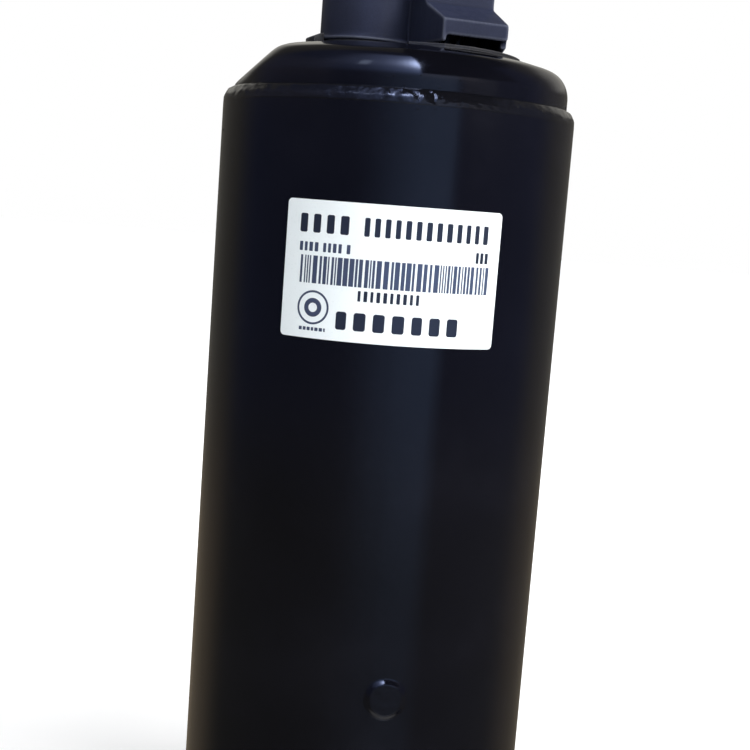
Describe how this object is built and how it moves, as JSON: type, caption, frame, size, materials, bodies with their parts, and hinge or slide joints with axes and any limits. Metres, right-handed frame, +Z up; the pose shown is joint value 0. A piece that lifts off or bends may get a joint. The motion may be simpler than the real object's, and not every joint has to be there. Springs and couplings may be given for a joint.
{
  "type": "refrigeration rotary compressor",
  "caption": "Upright sealed rolling-piston compressor: black welded casing, moulded terminal cover, suction accumulator, three-foot base, motor and pump inside.",
  "frame": {"origin": "centre of the foot bolt circle, on the casing axis, in the plane the foot grommets stand on", "axes": "+Z up along the casing axis; -Y towards the rating label (front); +Y towards the suction accumulator; +X right seen from the front"},
  "size_m": [0.1752, 0.1912, 0.321],
  "materials": {
    "black_enamel": "gloss",
    "weld_enamel": "gloss",
    "base_paint": "satin",
    "grommet_rubber": "matte",
    "gasket_rubber": "matte",
    "zinc_steel": "satin",
    "bare_steel": "satin",
    "ground_steel": "polished",
    "copper_tube": "satin",
    "brass_fastener": "satin",
    "copper_winding": "satin",
    "cover_plastic": "satin",
    "protector_plastic": "satin",
    "connector_plastic": "satin",
    "lead_insulation": "satin",
    "terminal_glass": "gloss",
    "label_film": "satin",
    "electrical_steel": "satin",
    "cast_aluminium": "satin",
    "pump_iron": "machined",
    "balance_brass": "satin"
  },
  "bodies": {
    "housing": {"main_shell": "black_enamel", "upper_cap": "black_enamel", "lower_cap": "black_enamel", "upper_seam_weld": "weld_enamel", "lower_seam_weld": "weld_enamel", "plug_welds": "weld_enamel", "mounting_base": "base_paint", "foot_grommets": "grommet_rubber", "grommet_sleeves": "zinc_steel", "discharge_tube": "copper_tube", "discharge_collar": "bare_steel", "terminal_body": "bare_steel", "terminal_glass": "terminal_glass", "terminal_pins": "ground_steel", "cover_stud": "bare_steel", "overload_protector": "protector_plastic", "protector_clip": "zinc_steel", "terminal_gasket": "gasket_rubber", "earth_screw": "brass_fastener", "rating_label": "label_film", "accumulator_shell": "black_enamel", "accumulator_inlet_tube": "copper_tube", "accumulator_standpipe": "copper_tube", "accumulator_screen": "bare_steel", "accumulator_baffle": "bare_steel", "suction_elbow": "copper_tube", "suction_adapter": "bare_steel", "accumulator_bracket": "black_enamel", "accumulator_strap": "zinc_steel", "strap_screw": "zinc_steel", "stator_core": "electrical_steel", "stator_winding": "copper_winding", "motor_leads": "lead_insulation", "lead_connector": "connector_plastic", "cylinder_block": "pump_iron", "main_bearing": "pump_iron", "lower_bearing": "pump_iron", "vane_spring": "ground_steel", "upper_pump_bolts": "bare_steel", "lower_pump_bolts": "bare_steel", "valve_retainer": "bare_steel", "valve_rivet": "bare_steel", "discharge_muffler": "bare_steel"},
    "cover": {"terminal_cover": "cover_plastic", "cover_washer": "zinc_steel", "cover_nut": "zinc_steel"},
    "rotor_and_shaft": {"crankshaft": "pump_iron", "oil_paddle": "bare_steel", "rotor_core": "electrical_steel", "rotor_end_rings": "cast_aluminium", "rotor_rivets": "bare_steel", "upper_balance_weight": "balance_brass", "lower_balance_weight": "balance_brass"},
    "rolling_piston": {"roller": "ground_steel"},
    "timing_link": {"vane_timing_pin": "ground_steel"},
    "vane": {"vane": "ground_steel"},
    "discharge_reed": {"discharge_valve_reed": "ground_steel"}
  },
  "joints": [
    {"name": "crankshaft_spin", "type": "hinge", "parent": "housing", "child": "rotor_and_shaft", "pos_m": [0, 0, 0.082], "axis": [0, 0, 1], "continuous": true},
    {"name": "rolling_piston_spin", "type": "hinge", "parent": "rotor_and_shaft", "child": "rolling_piston", "pos_m": [0.00157, 0.00389, 0.082], "axis": [0, 0, 1], "continuous": true},
    {"name": "timing_link_spin", "type": "hinge", "parent": "rotor_and_shaft", "child": "timing_link", "pos_m": [0.00079, 0.00195, 0.082], "axis": [0, 0, 1], "continuous": true},
    {"name": "vane_stroke", "type": "hinge", "parent": "timing_link", "child": "vane", "pos_m": [0.00157, 0.00389, 0.082], "axis": [0, 0, 1], "continuous": true, "deforming": ["vane_spring"]},
    {"name": "discharge_reed_lift", "type": "hinge", "parent": "housing", "child": "discharge_reed", "pos_m": [0.03111, 0.00879, 0.1017], "axis": [0.5878, 0.809, 0], "range_deg": [0, 4.2], "stiffness_Nm_per_rad": 0.02, "deforming": ["discharge_valve_reed"]},
    {"name": "terminal_cover_lift", "type": "slide", "parent": "housing", "child": "cover", "axis": [0, 0, 1], "range_m": [0, 0.06]}
  ],
  "couplings": [
    {"joint": "timing_link_spin", "follows": "crankshaft_spin", "ratio": -2},
    {"joint": "vane_stroke", "follows": "crankshaft_spin", "ratio": 1}
  ]
}
